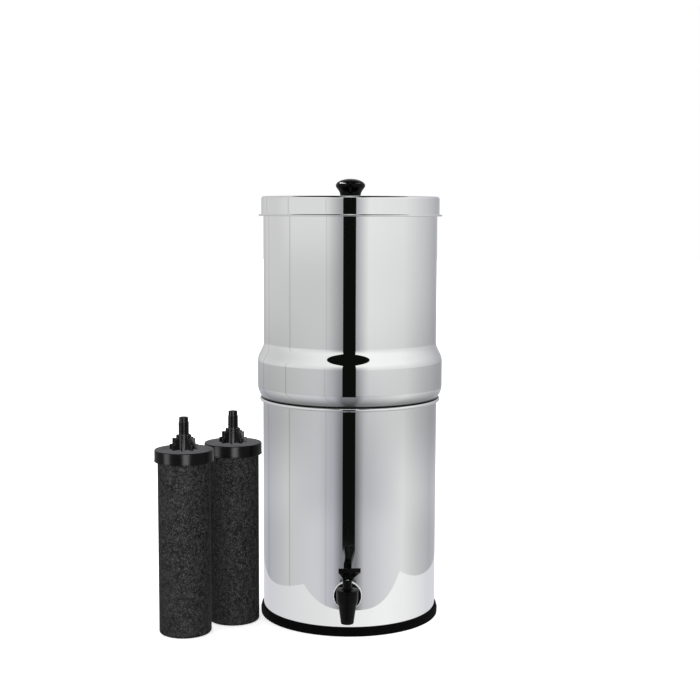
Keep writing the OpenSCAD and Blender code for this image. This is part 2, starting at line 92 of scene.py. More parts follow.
LEFT_PLACE = (
    RIGHT_PLACE[0] + (2 * CAP_R + CAP_GAP) * math.cos(LEFT_BEARING),
    RIGHT_PLACE[1] + (2 * CAP_R + CAP_GAP) * math.sin(LEFT_BEARING),
)
# Steps round the large shells, and the name of the mark on their inner faces
SHELL_STEPS = 256
INSIDE = "inside"


# ---------------------------------------------------------------- shader maths


class Value:
    """An output socket that can be used in arithmetic."""

    def __init__(self, recipe, socket):
        self.recipe = recipe
        self.socket = socket

    def math(self, operation, *others):
        inputs = dict(enumerate((self,) + others))
        return self.recipe.node("ShaderNodeMath", {"operation": operation}, inputs)

    def __add__(self, other):
        return self.math("ADD", other)

    __radd__ = __add__

    def __sub__(self, other):
        return self.math("SUBTRACT", other)

    def __rsub__(self, other):
        return self.recipe.node("ShaderNodeMath", {"operation": "SUBTRACT"}, {0: other, 1: self})

    def __mul__(self, other):
        return self.math("MULTIPLY", other)

    def __truediv__(self, other):
        return self.math("DIVIDE", other)

    def __neg__(self):
        return self.math("MULTIPLY", -1.0)

    def __abs__(self):
        return self.math("ABSOLUTE")

    def ease(self, low, high):
        """0 up to low, 1 past high and a smooth rise between; falling where low lies above high."""
        sockets = {"Value": self, "From Min": low, "From Max": high}
        return self.recipe.node("ShaderNodeMapRange", {"interpolation_type": "SMOOTHSTEP"}, sockets)


class Recipe:
    """The nodes of one material, or of the world."""

    def __init__(self, tree):
        self.tree = tree
        tree.nodes.clear()

    def node(self, kind, settings=None, sockets=None, output=0):
        made = self.tree.nodes.new(kind)
        for name, setting in (settings or {}).items():
            if name == "stops":
                self.set_stops(made.color_ramp, setting)
            else:
                setattr(made, name, setting)
        for name, given in (sockets or {}).items():
            if isinstance(given, Value):
                self.tree.links.new(given.socket, made.inputs[name])
            else:
                made.inputs[name].default_value = given
        return Value(self, made.outputs[output]) if len(made.outputs) else None

    def set_stops(self, ramp, stops):
        while len(ramp.elements) < len(stops):
            ramp.elements.new(1.0)
        for element, (place, colour) in zip(ramp.elements, stops):
            element.position = place
            element.color = colour

    def blend(self, share, one, other):
        """Two colours mixed: inputs 6 and 7 and output 2 are the node's colour sockets."""
        sockets = {0: share, 6: one, 7: other}
        return self.node("ShaderNodeMix", {"data_type": "RGBA"}, sockets, output=2)

    def scaled(self, colour, share):
        return self.node("ShaderNodeVectorMath", {"operation": "SCALE"}, {0: colour, "Scale": share})

    def place(self):
        """Object coordinates, in metres."""
        return self.node("ShaderNodeTexCoord", output="Object")

    def split(self, vector):
        made = self.node("ShaderNodeSeparateXYZ", None, {0: vector})
        outputs = made.socket.node.outputs
        return [Value(self, outputs[i]) for i in range(3)]

    def join(self, x, y, z):
        return self.node("ShaderNodeCombineXYZ", None, {0: x, 1: y, 2: z})

    def stretched(self, vector, x, y, z):
        settings = {"operation": "MULTIPLY"}
        return self.node("ShaderNodeVectorMath", settings, {0: vector, 1: (x, y, z)})

    def noise(self, vector, scale, detail=3.0, roughness=0.5):
        sockets = {"Vector": vector, "Scale": scale, "Detail": detail, "Roughness": roughness}
        return self.node("ShaderNodeTexNoise", {"noise_dimensions": "3D"}, sockets)

    def grains(self, vector, scale, feature="F1"):
        sockets = {"Vector": vector, "Scale": scale}
        return self.node("ShaderNodeTexVoronoi", {"feature": feature}, sockets)

    def relief(self, height, depth_mm, strength):
        sockets = {"Height": height, "Distance": depth_mm * MM, "Strength": strength}
        return self.node("ShaderNodeBump", None, sockets)

    def finish(self, **sockets):
        shader = self.node("ShaderNodeBsdfPrincipled", None, sockets)
        self.node("ShaderNodeOutputMaterial", None, {"Surface": shader})


def material(name, make):
    made = bpy.data.materials.new(name)
    made.use_nodes = True
    make(Recipe(made.node_tree))
    return made


def grey(level, warm=0.0):
    """A grey as a colour, with its red raised and its blue lowered by the share warm."""
    return (level * (1 + warm), level, level * (1 - warm), 1.0)


# ---------------------------------------------------------------- finishes


def around(recipe, place):
    """Cylinder coordinates about the vessel's axis: angle in radians, height and radius."""
    x, y, z = recipe.split(place)
    angle = y.math("ARCTAN2", x)
    radius = (x * x + y * y).math("SQRT")
    return angle, z, radius


# Bands of painted shade on the steel at the joint of the two chambers, the second a painted black shadow
# line in the gap, in millimetres over the lower
# rim: where the shade starts and is full at the band's top, and the same at its foot
JOINT_PAINTED_SHADE = ((14.9, 1.4), (-0.4, -0.1))
JOINT_GAP_PAINTED_SHADOW = ((2.2, 1.7), (-0.6, -0.3))


def joint_band(z, band):
    """1 in a band of heights, easing to 0 past its top and its foot."""
    (top_start, top_full), (foot_start, foot_full) = band
    top = z.ease((RIM_Z + top_start) * MM, (RIM_Z + top_full) * MM)
    return top * z.ease((RIM_Z + foot_start) * MM, (RIM_Z + foot_full) * MM)


def mirror_steel(recipe):
    """Sheet steel, polished outside and satin on the faces that are marked as inside."""
    place = recipe.place()
    angle, z, radius = around(recipe, place)
    inside = recipe.node("ShaderNodeAttribute", {"attribute_name": INSIDE}, output=2)
    # spinning lines run round the shell, so the pattern varies along its profile and hardly round it
    along = recipe.join(radius, z, angle * 0.0004)
    lines = recipe.noise(along, 2600.0, 2.0)
    broad = recipe.noise(along, 60.0, 2.0)
    haze = recipe.noise(place, 14.0, 4.0, 0.6)
    smears = recipe.noise(recipe.stretched(place, 1.0, 1.0, 0.35), 55.0, 5.0, 0.65).ease(0.56, 0.74)
    dust = recipe.grains(place, 420.0).ease(0.10, 0.04) * haze.ease(0.5, 0.62)
    tone = recipe.blend(haze, (0.845, 0.848, 0.852, 1.0), (0.872, 0.872, 0.874, 1.0))
    tone = recipe.blend(smears * 0.16, tone, (0.80, 0.80, 0.79, 1.0))
    # painted shade on the steel towards the joint between the two chambers, and a painted black shadow line
    # in it
    joint_painted_shade, gap = joint_band(z, JOINT_PAINTED_SHADE), joint_band(z, JOINT_GAP_PAINTED_SHADOW)
    tone = recipe.scaled(tone, (1.0 - joint_painted_shade * 0.45) * (1.0 - gap * 0.9))
    tone = recipe.blend(inside * 0.8, tone, (0.66, 0.665, 0.67, 1.0))
    rough = 0.022 + lines * 0.012 + smears * 0.012 + dust * 0.05
    rough = rough + inside * (0.38 + lines * 0.1)
    height = lines * 0.6 + broad * 0.4
    recipe.finish(**{
        "Base Color": tone,
        "Metallic": 1.0 - inside * 0.35,
        "Roughness": rough,
        "Normal": recipe.relief(height, 0.0005, 0.4),
    })


def bright_steel(recipe):
    """Turned or drawn steel: the screw, its washer, the pin and the spring."""
    place = recipe.place()
    worn = recipe.noise(place, 160.0, 4.0, 0.6)
    lines = recipe.noise(recipe.stretched(place, 1.0, 1.0, 14.0), 320.0, 3.0)
    recipe.finish(**{
        "Base Color": recipe.blend(worn, (0.56, 0.56, 0.57, 1.0), (0.68, 0.68, 0.68, 1.0)),
        "Metallic": 1.0,
        "Roughness": 0.16 + lines * 0.14 + worn * 0.06,
        "Normal": recipe.relief(lines, 0.01, 0.4),
    })


def plastic(dark, light, rough_low, rough_high, orange_peel_mm, level):
    """A moulded plastic: slight mottling, rubbed patches and the mould's orange peel."""

    def make(recipe):
        place = recipe.place()
        mottle = recipe.noise(place, 90.0, 4.0, 0.6)
        rubbed = recipe.noise(place, 38.0, 3.0, 0.55).ease(0.46, 0.68)
        peel = recipe.noise(place, 900.0, 2.0)
        scuffs = recipe.noise(recipe.stretched(place, 1.0, 1.0, 9.0), 260.0, 4.0, 0.7).ease(0.66, 0.78)
        colour = recipe.blend(mottle, dark, light)
        recipe.finish(**{
            "Base Color": recipe.blend(scuffs * 0.25, colour, grey(0.03)),
            "Roughness": rough_low + rubbed * (rough_high - rough_low) + scuffs * 0.08,
            "Specular IOR Level": level,
            "Normal": recipe.relief(peel * 0.8 + scuffs * 0.2, orange_peel_mm, 0.5),
        })

    return make


def foot_rubber(recipe):
    """Black rubber, chalky in patches and scuffed near the ground."""
    place = recipe.place()
    z = recipe.split(place)[2]
    pores = recipe.noise(place, 1400.0, 3.0, 0.6)
    chalk = recipe.noise(place, 45.0, 5.0, 0.65).ease(0.5, 0.75)
    scuffed = (1.0 - z.ease(0.0, 4 * MM)) * recipe.noise(place, 190.0, 4.0).ease(0.45, 0.7)
    colour = recipe.blend(chalk * 0.4 + scuffed * 0.3, grey(0.0012), grey(0.006, 0.04))
    recipe.finish(**{
        "Base Color": colour,
        "Roughness": 0.62 + pores * 0.14 + chalk * 0.1,
        "Specular IOR Level": 0.04,
        "Normal": recipe.relief(pores, 0.03, 0.5),
    })


def soft_rubber(recipe):
    """The dark rubber of the washers."""
    place = recipe.place()
    pores = recipe.noise(place, 1100.0, 3.0)
    bloom = recipe.noise(place, 120.0, 4.0)
    recipe.finish(**{
        "Base Color": recipe.blend(bloom, grey(0.02), grey(0.04)),
        "Roughness": 0.55 + pores * 0.2,
        "Normal": recipe.relief(pores, 0.03, 0.5),
    })


def milky_silicone(recipe):
    """The pale silicone of the tap's outer washer and of the seat cup."""
    place = recipe.place()
    cloud = recipe.noise(place, 130.0, 4.0)
    skin = recipe.noise(place, 1200.0, 2.0)
    recipe.finish(**{
        "Base Color": recipe.blend(cloud, (0.84, 0.84, 0.83, 1.0), (0.92, 0.92, 0.91, 1.0)),
        "Roughness": 0.34 + skin * 0.16,
        "Subsurface Weight": 0.1,
        "Normal": recipe.relief(skin, 0.015, 0.4),
    })


def white_plastic(recipe):
    """The off-white plastic of the valve stem."""
    place = recipe.place()
    cloud = recipe.noise(place, 150.0, 3.0)
    peel = recipe.noise(place, 1000.0, 2.0)
    recipe.finish(**{
        "Base Color": recipe.blend(cloud, (0.66, 0.66, 0.63, 1.0), (0.76, 0.76, 0.74, 1.0)),
        "Roughness": 0.3 + cloud * 0.14,
        "Normal": recipe.relief(peel, 0.01, 0.4),
    })


def pressed_carbon(recipe):
    """Black carbon grains baked together: bright and dark grains a millimetre across, and pits."""
    place = recipe.place()
    grain = recipe.grains(place, 640.0, "SMOOTH_F1")
    speckle = recipe.noise(place, 820.0, 2.0, 0.6)
    clumps = recipe.noise(place, 240.0, 3.0, 0.7)
    clouds = recipe.noise(recipe.stretched(place, 1.0, 1.0, 0.6), 45.0, 3.0, 0.6)
    bright = speckle.ease(0.54, 0.72)
    dark = speckle.ease(0.47, 0.30)
    pits = clumps.ease(0.40, 0.30)
    colour = recipe.blend(clouds.ease(0.35, 0.65), grey(0.0022), grey(0.0058))
    colour = recipe.blend(clumps.ease(0.42, 0.66) * 0.8, colour, grey(0.0145))
    colour = recipe.blend(bright * 0.9, colour, grey(0.040))
    colour = recipe.blend(dark * 0.8, colour, grey(0.001))
    colour = recipe.blend(pits * 0.8, colour, grey(0.001))
    height = speckle * 0.5 + clumps * 0.6 - grain * 0.3 - pits * 0.5
    recipe.finish(**{
        "Base Color": colour,
        "Roughness": 0.52 + speckle * 0.3,
        "Specular IOR Level": 0.06,
        "Normal": recipe.relief(height, 0.5, 0.8),
    })


STEEL = material("polished_steel", mirror_steel)
FIXINGS = material("bright_steel_fixings", bright_steel)
GLOSS_BLACK = material("gloss_black", plastic(grey(0.001), grey(0.002), 0.05, 0.1, 0.004, 0.075))
TAP_BLACK = material("tap_black", plastic(grey(0.0016), grey(0.0032), 0.2, 0.34, 0.01, 0.07))
SATIN_BLACK = material("satin_black", plastic(grey(0.0006), grey(0.0014), 0.24, 0.31, 0.01, 0.09))
FOOT_RUBBER = material("foot_rubber", foot_rubber)
SOFT_RUBBER = material("soft_rubber", soft_rubber)
SILICONE = material("milky_silicone", milky_silicone)
WHITE_PLASTIC = material("white_plastic", white_plastic)
CARBON = material("pressed_carbon", pressed_carbon)


# ---------------------------------------------------------------- shapes


def piece(name, mesh, finish, body, nodes):
    """Turns a bmesh into a named piece that rides on a body and stands for CAD nodes."""
    bmesh.ops.remove_doubles(mesh, verts=mesh.verts, dist=1e-6)
    bmesh.ops.recalc_face_normals(mesh, faces=mesh.faces)
    for face in mesh.faces:
        face.smooth = True
    for edge in mesh.edges:
        edge.smooth = len(edge.link_faces) == 2 and edge.calc_face_angle(0.0) < math.radians(38)
    data = bpy.data.meshes.new(name)
    mesh.to_mesh(data)
    mesh.free()
    made = bpy.data.objects.new(name, data)
    bpy.context.scene.collection.objects.link(made)
    data.materials.append(finish)
    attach(made, body)
    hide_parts(*nodes)
    return made


def arc(r, z, radius, start, end, count):
    """Points on a round stretch about (r, z), in degrees."""
    turns = [math.radians(start + (end - start) * i / count) for i in range(count + 1)]
    return [(r + radius * math.cos(t), z + radius * math.sin(t)) for t in turns]


def beside(path, gap):
    """The same path moved to the left of its direction by gap."""
    moved = []
    for i in range(len(path)):
        ways = []
        for a, b in ((i - 1, i), (i, i + 1)):
            if a >= 0 and b < len(path):
                dr, dz = path[b][0] - path[a][0], path[b][1] - path[a][1]
                size = math.hypot(dr, dz)
                ways.append((-dz / size, dr / size))
        one, other = ways[0], ways[-1]
        share = gap / (1 + one[0] * other[0] + one[1] * other[1])
        moved.append((path[i][0] + share * (one[0] + other[0]), path[i][1] + share * (one[1] + other[1])))
    return moved


def rounded(corners):
    """Replaces each corner (r, z, radius) by a fillet, on a path of (r, z[, radius]) points."""
    path = []
    last = len(corners) - 1
    for i, corner in enumerate(corners):
        if len(corner) == 2 or i in (0, last):
            path.append(corner[:2])
            continue
        r, z, radius = corner
        (ar, az), (br, bz) = corners[i - 1][:2], corners[i + 1][:2]
        a = math.atan2(az - z, ar - r)
        b = math.atan2(bz - z, br - r)
        half = abs((b - a + math.pi) % (2 * math.pi) - math.pi) / 2
        middle = math.atan2(math.sin(a) + math.sin(b), math.cos(a) + math.cos(b))
        far = radius / math.sin(half)
        cr, cz = r + far * math.cos(middle), z + far * math.sin(middle)
        back = middle + math.pi
        turn = math.pi / 2 - half
        side = 1 if math.sin(middle - a) < 0 else -1
        count = max(3, int(math.degrees(turn) / 9))
        for k in range(count + 1):
            t = back + side * turn * (2 * k / count - 1)
            path.append((cr + radius * math.cos(t), cz + radius * math.sin(t)))
    return path


def braced(path, closed):
    """Adds a point close to each end of the long straight runs, so that they shade as straight."""
    points = []
    for i, (r, z) in enumerate(path):
        points.append((r, z))
        if i == len(path) - 1 and not closed:
            break
        end_r, end_z = path[(i + 1) % len(path)]
        run = math.hypot(end_r - r, end_z - z)
        if run > 2.0:
            for share in (0.3 / run, 1 - 0.3 / run):
                points.append((r + (end_r - r) * share, z + (end_z - z) * share))
    return points


def spin(mesh, path, steps, closed=True, centre=(0.0, 0.0)):
    """Spins a path of (radius, height) about the upright line through centre."""
    path = braced(path, closed)
    corners = [mesh.verts.new(((centre[0] + r) * MM, centre[1] * MM, z * MM)) for r, z in path]
    pairs = list(zip(corners, corners[1:]))
    if closed:
        pairs.append((corners[-1], corners[0]))
    edges = [mesh.edges.new(pair) for pair in pairs]
    bmesh.ops.spin(
        mesh,
        geom=corners + edges,
        cent=(centre[0] * MM, centre[1] * MM, 0.0),
        axis=(0.0, 0.0, 1.0),
        angle=2 * math.pi,
        steps=steps,
        use_merge=True,
    )
    bmesh.ops.remove_doubles(mesh, verts=mesh.verts, dist=1e-6)


def added(mesh, make):
    """Runs make() and returns the vertices that it added."""
    before = set(mesh.verts)
    make()
    return [vert for vert in mesh.verts if vert not in before]


def laid_along_y(mesh, make, x, z):
    """What make() turned about the upright axis is laid down, its +Z towards +Y, at x and z."""
    verts = added(mesh, make)
    lay = Matrix.Translation((x * MM, 0.0, z * MM)) @ Matrix.Rotation(-math.pi / 2, 4, "X")
    bmesh.ops.transform(mesh, matrix=lay, verts=verts)


def thread(mesh, core_r, crest_r, low, pitch, turns, centre):
    """A screw thread: a small tooth swept up a helix, with its ends sunk in the core."""
    root_r = core_r - 0.25
    tooth = [(root_r, -0.46), (crest_r, -0.07), (crest_r, 0.07), (root_r, 0.46)]
    corners = [
        mesh.verts.new(((centre[0] + r) * MM, centre[1] * MM, (low + z * pitch) * MM)) for r, z in tooth
    ]
    face = mesh.faces.new(corners)
    steps = 40 * turns
    bmesh.ops.spin(
        mesh,
        geom=[face],
        cent=(centre[0] * MM, centre[1] * MM, 0.0),
        axis=(0.0, 0.0, 1.0),
        dvec=(0.0, 0.0, pitch * turns / steps * MM),
        angle=2 * math.pi * turns,
        steps=steps,
    )


def softened(mesh, width_mm, sharper_than, segments):
    """Bevels every edge that is sharper than an angle in degrees."""
    limit = math.radians(sharper_than)
    sharp = [edge for edge in mesh.edges if len(edge.link_faces) == 2 and edge.calc_face_angle(0.0) > limit]
    bmesh.ops.bevel(
        mesh,
        geom=sharp,
        offset=width_mm * MM,
        offset_type="OFFSET",
        segments=segments,
        profile=0.5,
        affect="EDGES",
        material=-1,
        clamp_overlap=True,
    )


def rolled_rim(r, roll_r, top_z):
    """The rim of a shell of outer radius r, rolled outwards, with its top at top_z."""
    return arc(r - SHEET + roll_r, top_z - roll_r, roll_r - SHEET, 180, -115, 24)


def mark_inside(shell, focus_z, below_z):
    """Marks the faces below a height that look at the point on the axis at focus_z."""
    mark = shell.data.attributes.new(INSIDE, "FLOAT", "CORNER")
    focus = Vector((0.0, 0.0, focus_z * MM))
    for face in shell.data.polygons:
        if face.center.z < below_z * MM and face.normal.dot(focus - face.center) > 0:
            for corner in face.loop_indices:
                mark.data[corner].value = 1.0


def shell_outline(path, gap):
    """A closed outline of sheet metal whose outer face is path."""
    return path + beside(path, gap)[::-1]


def stage_piece(name, mesh, paint):
    """Turns a bmesh into a named piece of the studio, which isn't part of the object."""
    data = bpy.data.meshes.new(name)
    mesh.to_mesh(data)
    mesh.free()
    data.materials.append(material(name, paint))
    made = bpy.data.objects.new(name, data)
    bpy.context.scene.collection.objects.link(made)
    return made


def lower_chamber():
    dish_r = LOWER_R - 27
    focus_depth, roll_h = 20, 6
    path = rounded([
        (0, FOOT_T + FLOOR_DISH),
        (dish_r, FOOT_T + FLOOR_DISH, 9),
        (dish_r + 3 * FLOOR_DISH, FOOT_T, 9),
        (LOWER_R, FOOT_T, 4),
        (LOWER_R, RIM_Z - 40),
    ])
    path += rolled_rim(LOWER_R, RIM_ROLL_R, RIM_Z)
    mesh = bmesh.new()
    spin(mesh, shell_outline(path, SHEET), SHELL_STEPS, closed=False)
    shell = piece("lower_chamber_shell", mesh, STEEL, "vessel", ["lower_chamber"])
    mark_inside(shell, RIM_Z - focus_depth, RIM_Z - roll_h)


def drilled_floor(mesh):
    """Fills both faces of the floor plate round its four holes, and joins them through each hole."""
    open_edges = [edge for edge in mesh.edges if edge.is_boundary]
    faces = []
    for z in (UPPER_FLOOR_Z, UPPER_FLOOR_Z + SHEET):
        border = [edge for edge in open_edges if abs(edge.verts[0].co.z - z * MM) < 1e-5]
        holes = []
        for i in range(4):
            turn = math.pi / 2 * i
            x, y = HOLE_CIRCLE_R * math.cos(turn) * MM, HOLE_CIRCLE_R * math.sin(turn) * MM
            spot = Matrix.Translation((x, y, z * MM))
            ring = bmesh.ops.create_circle(mesh, segments=48, radius=HOLE_R * MM, matrix=spot)
            holes.append(list({edge for vert in ring["verts"] for edge in vert.link_edges}))
        edges = border + sum(holes, [])
        bmesh.ops.triangle_fill(mesh, edges=edges, use_beauty=True, use_dissolve=False)
        faces.append(holes)
    for low, high in zip(*faces):
        bmesh.ops.bridge_loops(mesh, edges=low + high)


def upper_chamber():
    lip_h = 1.6
    draw = math.degrees(math.acos(1 - BULGE_OUT / BULGE_ROUND))
    bulge_z = SEAT_Z + lip_h + BULGE_ROUND * math.sin(math.radians(draw))
    shoulder_z = bulge_z + BULGE_H
    shoulder_steps = 32
    # the sheet is spun in to this radius, and the floor plate is filled inside it
    plate_r = 78.0
    focus_depth, roll_h = 20, 3
    path = [(plate_r, UPPER_FLOOR_Z)]
    path += arc(STEP_R - 3, UPPER_FLOOR_Z + 3, 3, -90, 0, 8)
    path += arc(STEP_R + 1.5, SEAT_Z - 1.5, 1.5, 180, 90, 6)
    path += arc(LIP_R - 1, SEAT_Z + 1, 1, -90, 0, 6)
    path += arc(BULGE_R - BULGE_ROUND, bulge_z, BULGE_ROUND, -draw, 0, 20)
    path += [(BULGE_R, shoulder_z)]
    for i in range(1, shoulder_steps + 1):
        share = i / shoulder_steps
        r = BULGE_R - SHOULDER_IN * (1 - math.cos(math.pi * share)) / 2
        path.append((r, shoulder_z + SHOULDER_H * share))
    path += rolled_rim(UPPER_R, TOP_ROLL_R, UPPER_RIM_Z)
    mesh = bmesh.new()
    spin(mesh, shell_outline(path, SHEET), SHELL_STEPS, closed=False)
    drilled_floor(mesh)
    shell = piece("upper_chamber_shell", mesh, STEEL, "upper_part", ["upper_chamber"])
    mark_inside(shell, UPPER_RIM_Z - focus_depth, UPPER_RIM_Z - roll_h)


def lid():
    hem_r = LID_R + HEM_OUT
    hem_z = LID_Z - LID_H
    edge_r, hem_bend = 3.3, 0.9
    path = [(0, LID_Z)]
    path += arc(LID_R - edge_r, LID_Z - edge_r, edge_r, 90, 0, 14)
    path += arc(LID_R + hem_bend, hem_z + HEM_T + hem_bend, hem_bend, 180, 270, 6)
    path += arc(hem_r - HEM_T / 2, hem_z + HEM_T / 2, HEM_T / 2, 90, -90, 12)
    path += [(LID_R + 0.8, hem_z)]
    mesh = bmesh.new()
    spin(mesh, shell_outline(path, -SHEET), SHELL_STEPS, closed=False)
    shell = piece("lid_shell", mesh, STEEL, "lid_part", ["lid"])
    mark_inside(shell, hem_z, LID_Z - SHEET / 2)


def lid_knob():
    brim_z = 0.62 * KNOB_H
    path = [(0, LID_Z)]
    # the side swells from the foot to the brim in one S-shaped curve
    for i in range(41):
        rise = (1 - math.cos(math.pi * (i / 40) ** 1.45)) / 2
        path.append((KNOB_FOOT_R + (KNOB_R - KNOB_FOOT_R) * rise, LID_Z + brim_z * i / 40))
    for i in range(1, 31):
        turn = math.radians(3 * i)
        path.append((KNOB_R * math.cos(turn), LID_Z + brim_z + (KNOB_H - brim_z) * math.sin(turn)))
    mesh = bmesh.new()
    spin(mesh, path[:-1] + [(0, LID_Z + KNOB_H)], 96, closed=False)
    return piece("knob", mesh, GLOSS_BLACK, "lid_part", ["lid_knob"])


def foot_ring():
    outer = LOWER_R + FOOT_OUT
    path = rounded([
        (LOWER_R - 9, FOOT_T - 0.05),
        (LOWER_R - 9, 0, 0.3),
        (outer - 0.3, 0, 0.9),
        (outer, 0.55 * FOOT_H, 3.0),
        (LOWER_R + 2.0, FOOT_H, 0.7),
        (LOWER_R + 0.05, FOOT_H, 0.25),
        (LOWER_R + 0.05, FOOT_T - 0.05, 4.0),
        (LOWER_R - 9, FOOT_T - 0.05),
    ])
    mesh = bmesh.new()
    spin(mesh, path[:-1], SHELL_STEPS)
    piece("foot_ring_rubber", mesh, FOOT_RUBBER, "vessel", ["foot_ring"])


def tap_body():
    mouth_z = TAP_Z - 27.7
    top_z = TAP_Z + 10.0
    wall_face = -LOWER_R - 2.2
    outer = rounded([
        (6.1, mouth_z + 0.1),
        (6.3, mouth_z, 0.25),
        (7.35, mouth_z, 0.6),
        (10.4, TAP_Z - 6.5, 6.0),
        (12.4, TAP_Z - 1.0, 5.0),
        (12.8, top_z, 0.4),
        (10.15, top_z, 0.3),
        (10.1, TAP_Z + 4.5),
    ])
    inner = [
        (8.5, TAP_Z + 4.5), (8.5, TAP_Z - 8.0), (5.7, TAP_Z - 8.0), (5.5, TAP_Z - 8.5),
        (4.6, TAP_Z - 8.5), (4.5, TAP_Z - 8.8), (4.5, mouth_z + 7.0),
    ]
    mesh = bmesh.new()
    spin(mesh, outer + inner, 96, centre=(0.0, TAP_Y))
    arm = rounded([
        (0, TAP_Y + 7.9),
        (9.5, TAP_Y + 7.9),
        (9.5, wall_face - 3.0, 0.9),
        (16.0, wall_face - 3.0, 0.9),
        (16.0, wall_face, 0.3),
        (8.0, wall_face),
        (8.0, -LOWER_R + 22.0, 0.6),
        (3.9, -LOWER_R + 22.0, 0.3),
        (3.9, -LOWER_R),
        (0, -LOWER_R),
    ])
    laid_along_y(mesh, lambda: spin(mesh, arm, 96, closed=False), 0.0, TAP_Z)
    piece("tap_barrel", mesh, TAP_BLACK, "vessel", ["tap_body"])


def tap_bonnet():
    base_z = TAP_Z + 10.0
    rim_z = base_z + 2.6
    dome_z = rim_z + 2.4
    neck_z = dome_z + 9.0
    outer = rounded([
        (6.5, TAP_Z + 4.5),
        (10.0, TAP_Z + 4.5, 0.3),
        (10.0, base_z),
        (12.75, base_z, 0.35),
        (12.9, rim_z, 0.9),
        (8.2, rim_z + 0.75, 1.6),
        (5.35, dome_z, 2.2),
        (5.3, neck_z, 0.5),
        (2.48, neck_z, 0.25),
        (2.48, rim_z),
        (6.5, rim_z),
    ])
    mesh = bmesh.new()
    spin(mesh, outer, 96, centre=(0.0, TAP_Y))
    piece("tap_bonnet_cap", mesh, TAP_BLACK, "vessel", ["tap_bonnet"])


def tap_lever():
    mesh = bmesh.new()
    mesh.from_mesh(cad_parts["tap_lever"].data)
    bmesh.ops.remove_doubles(mesh, verts=mesh.verts, dist=2e-6)
    bmesh.ops.dissolve_limit(mesh, angle_limit=math.radians(1.0), verts=mesh.verts, edges=mesh.edges)
    softened(mesh, 0.45, 30, 3)
    piece("lever", mesh, TAP_BLACK, "lever", ["tap_lever"])


def closing_spring():
    """The closing spring: a round wire swept up a helix."""
    wire_r, coil_r, turns = 0.55, 4.7, 6
    low, high = 49.8, 61.5
    mesh = bmesh.new()
    place = Matrix.Translation((coil_r * MM, TAP_Y * MM, low * MM))
    upright = Matrix.Rotation(math.pi / 2, 4, "X")
    bmesh.ops.create_circle(mesh, cap_ends=True, segments=12, radius=wire_r * MM, matrix=place @ upright)
    steps = 36 * turns
    bmesh.ops.spin(
        mesh,
        geom=mesh.verts[:] + mesh.edges[:] + mesh.faces[:],
        cent=(0.0, TAP_Y * MM, 0.0),
        axis=(0.0, 0.0, 1.0),
        dvec=(0.0, 0.0, (high - low) / steps * MM),
        angle=2 * math.pi * turns,
        steps=steps,
    )
    bmesh.ops.holes_fill(mesh, edges=[edge for edge in mesh.edges if edge.is_boundary])
    coil = piece("spring_coil", mesh, FIXINGS, "vessel", ["valve_spring"])
    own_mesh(coil)


# Each step of the ribs round a stem's foot: reach and height of its top over the cap
RIB_STEPS = [(16.7, 6.2), (13.5, 13.2), (8.9, 17.2)]
RIB_ROOT_R = 6.5


def element_block(name, node, body, centre):
    path = rounded([(0, 0), (BLOCK_R, 0, 3.0), (BLOCK_R, BLOCK_H, 0.4), (0, BLOCK_H)])
    mesh = bmesh.new()
    spin(mesh, path, 128, closed=False, centre=centre)
    return piece(name, mesh, CARBON, body, [node])


def stem_ribs(centre):
    """The eight stepped ribs round a stem's foot: one is extruded, softened and set round."""
    count, thick = 8, 2.2
    outline = [(RIB_ROOT_R, CAP_TOP_Z - 0.3)]
    for (reach, top), inner in zip(RIB_STEPS, RIB_STEPS[1:] + [(RIB_ROOT_R, 0)]):
        outline += [(reach, outline[-1][1]), (reach, CAP_TOP_Z + top)]
        outline.append((inner[0], CAP_TOP_Z + top))
    corners = []
    for r, z in outline:
        if not corners or (r, z) != corners[-1]:
            corners.append((r, z))
    rib = bmesh.new()
    face = rib.faces.new([rib.verts.new((r * MM, -thick / 2 * MM, z * MM)) for r, z in corners])
    raised = bmesh.ops.extrude_face_region(rib, geom=[face])
    lifted = [part for part in raised["geom"] if isinstance(part, bmesh.types.BMVert)]
    bmesh.ops.translate(rib, vec=(0.0, thick * MM, 0.0), verts=lifted)
    bmesh.ops.recalc_face_normals(rib, faces=rib.faces)
    softened(rib, 0.3, 40, 2)
    bmesh.ops.spin(
        rib,
        geom=rib.verts[:] + rib.edges[:] + rib.faces[:],
        cent=(0.0, 0.0, 0.0),
        axis=(0.0, 0.0, 1.0),
        angle=2 * math.pi * (count - 1) / count,
        steps=count - 1,
        use_duplicate=True,
    )
    bmesh.ops.translate(rib, vec=(centre[0] * MM, centre[1] * MM, 0.0), verts=rib.verts)
    return rib


def element_cap(name, node, body, centre):
    stem_z = CAP_TOP_Z + RIB_STEPS[-1][1]
    tip_z = stem_z + 15.5
    top_z = tip_z + 5.5
    cup = rounded([
        (BLOCK_R + 0.05, CAP_TOP_Z - 3.0),
        (BLOCK_R + 0.05, CAP_Z, 0.4),
        (CAP_R, CAP_Z, 0.5),
        (CAP_R, CAP_Z + 1.1, 0.35),
        (CAP_R - 0.35, CAP_Z + 1.5, 0.3),
        (CAP_R - 0.35, CAP_TOP_Z, 1.1),
        (7.2, CAP_TOP_Z, 0.8),
        (7.2, stem_z, 0.5),
        (5.85, stem_z),
        (5.85, tip_z),
        (5.4, tip_z),
        (5.4, top_z, 0.7),
        (3.0, top_z, 0.4),
        (3.0, CAP_TOP_Z - 3.0),
    ])
    mesh = bmesh.new()
    spin(mesh, cup, 128, centre=centre)
    thread(mesh, 5.85, 6.3, stem_z + 1.1, 1.9, 7, centre)
    ribs = stem_ribs(centre)
    held = bpy.data.meshes.new("ribs")
    ribs.to_mesh(held)
    ribs.free()
    mesh.from_mesh(held)
    bpy.data.meshes.remove(held)
    return piece(name, mesh, SATIN_BLACK, body, [node])


